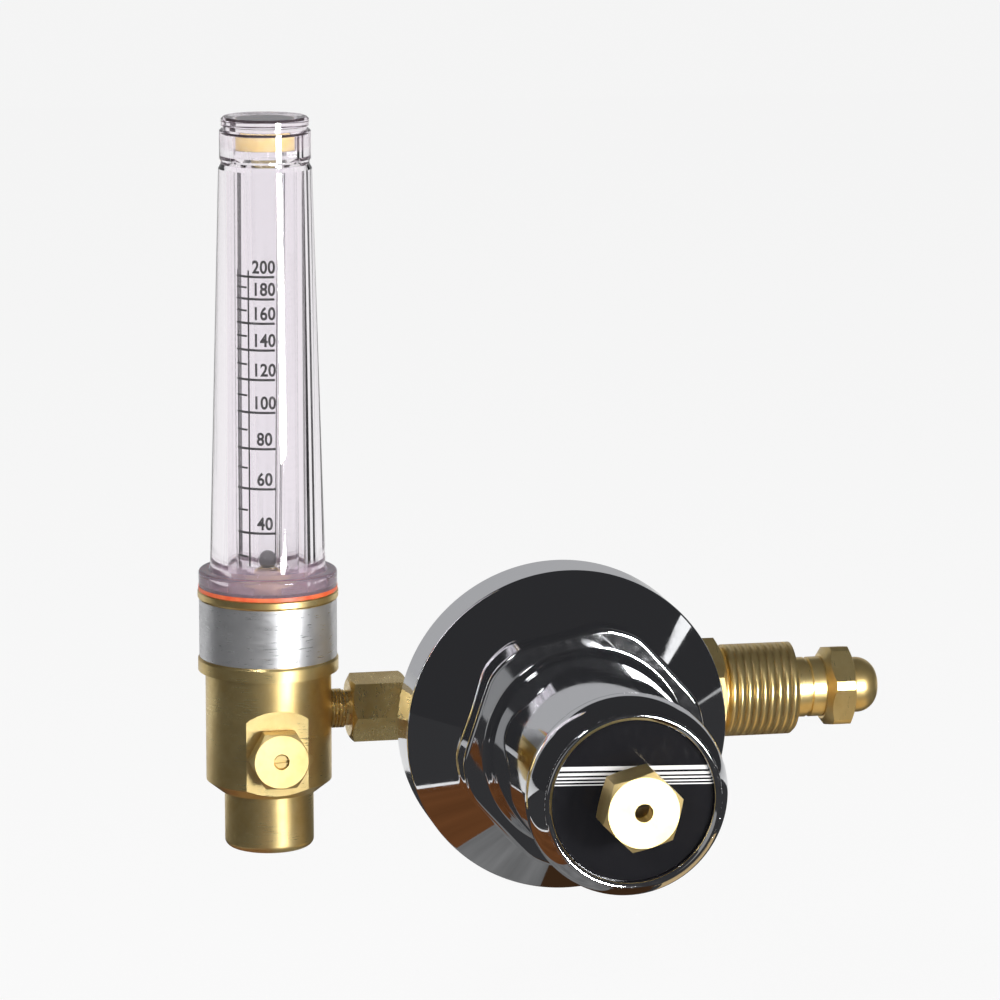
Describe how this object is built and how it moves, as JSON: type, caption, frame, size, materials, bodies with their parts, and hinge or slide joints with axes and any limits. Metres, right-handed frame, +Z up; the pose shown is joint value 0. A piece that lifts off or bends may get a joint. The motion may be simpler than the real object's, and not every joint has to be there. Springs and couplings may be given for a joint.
{
  "type": "gas regulator with flowmeter",
  "caption": "Cylinder gas regulator with a round chrome bell bonnet, a brass inlet nut and nipple, and an upright flowmeter with a clear tapered shield, scale tube and ball float.",
  "frame": {"origin": "where the inlet axis crosses the seating face of the nipple flange", "axes": "+X out of the inlet along the port axis, -Y out of the bonnet towards the reader, +Z up the flowmeter"},
  "size_m": [0.1817, 0.1442, 0.197],
  "materials": {
    "brass": "turned and lightly polished, with a satin grain",
    "chrome": "mirror plated casting",
    "black_label": "gloss black printed disc with white stripes",
    "silver_label": "satin silver foil",
    "clear_plastic": "clear moulding with a faint lilac tint",
    "tube_plastic": "clear, printed with a black scale",
    "red_gasket": "orange red silicone",
    "cream_pad": "matte cream",
    "seal_rubber": "matte black",
    "diaphragm_rubber": "matte black",
    "steel": "zinc plated",
    "spring_steel": "drawn wire",
    "ball_steel": "dark polished ball",
    "sintered_bronze": "sintered"
  },
  "bodies": {
    "regulator": {"regulator_body": "brass", "bonnet": "chrome", "bonnet_label": "black_label", "cap_nut": "brass", "main_spring": "spring_steel", "slip_ring": "steel", "diaphragm": "diaphragm_rubber", "valve_plug": "brass", "valve_seat": "brass", "closing_spring": "spring_steel", "inlet_nipple": "brass", "inlet_filter": "sintered_bronze", "outlet_adaptor": "brass", "flowmeter_body": "brass", "label_band": "silver_label", "shield_gasket": "red_gasket", "flow_shield": "clear_plastic", "ball_seat": "brass", "tube_seal": "seal_rubber", "metering_tube": "tube_plastic", "tube_pad": "cream_pad", "valve_nut": "brass"},
    "nut": {"inlet_nut": "brass"},
    "button": {"spring_button": "steel"},
    "screw": {"adjusting_screw": "steel"},
    "plate": {"diaphragm_plate": "steel"},
    "poppet": {"poppet": "steel"},
    "feed": {"needle_seal": "seal_rubber"},
    "needle": {"flow_needle": "brass"},
    "ball": {"float_ball": "ball_steel"}
  },
  "joints": [
    {"name": "inlet_nut_spin", "type": "hinge", "parent": "regulator", "child": "nut", "pos_m": [-0.03, 0, 0], "axis": [1, 0, 0], "continuous": true},
    {"name": "spring_load", "type": "slide", "parent": "regulator", "child": "button", "axis": [0, 1, 0], "range_m": [-0.00187, 0.00375], "deforming": ["main_spring"]},
    {"name": "adjust_turn", "type": "hinge", "parent": "button", "child": "screw", "pos_m": [-0.0841, -0.105, 0], "axis": [0, 1, 0], "range_deg": [-540, 1080]},
    {"name": "diaphragm_stroke", "type": "slide", "parent": "regulator", "child": "plate", "axis": [0, 1, 0], "range_m": [0, 0.0008], "deforming": ["main_spring", "diaphragm"]},
    {"name": "poppet_lift", "type": "slide", "parent": "regulator", "child": "poppet", "axis": [0, 1, 0], "range_m": [0, 0.0008], "stiffness_N_per_m": 400, "springref_m": -0.002, "deforming": ["closing_spring"]},
    {"name": "needle_feed", "type": "slide", "parent": "regulator", "child": "feed", "axis": [0, 1, 0], "range_m": [-0.0024, 0]},
    {"name": "needle_turn", "type": "hinge", "parent": "feed", "child": "needle", "pos_m": [-0.1557, -0.0146, -0.0088], "axis": [0, 1, 0], "range_deg": [-1080, 0]},
    {"name": "ball_rise", "type": "slide", "parent": "regulator", "child": "ball", "axis": [0, 0, 1], "range_m": [0, 0.095]}
  ],
  "couplings": [
    {"joint": "adjust_turn", "follows": "spring_load", "rad_per_m": 5026.5},
    {"joint": "poppet_lift", "follows": "diaphragm_stroke", "ratio": 1},
    {"joint": "needle_turn", "follows": "needle_feed", "rad_per_m": 7854}
  ]
}
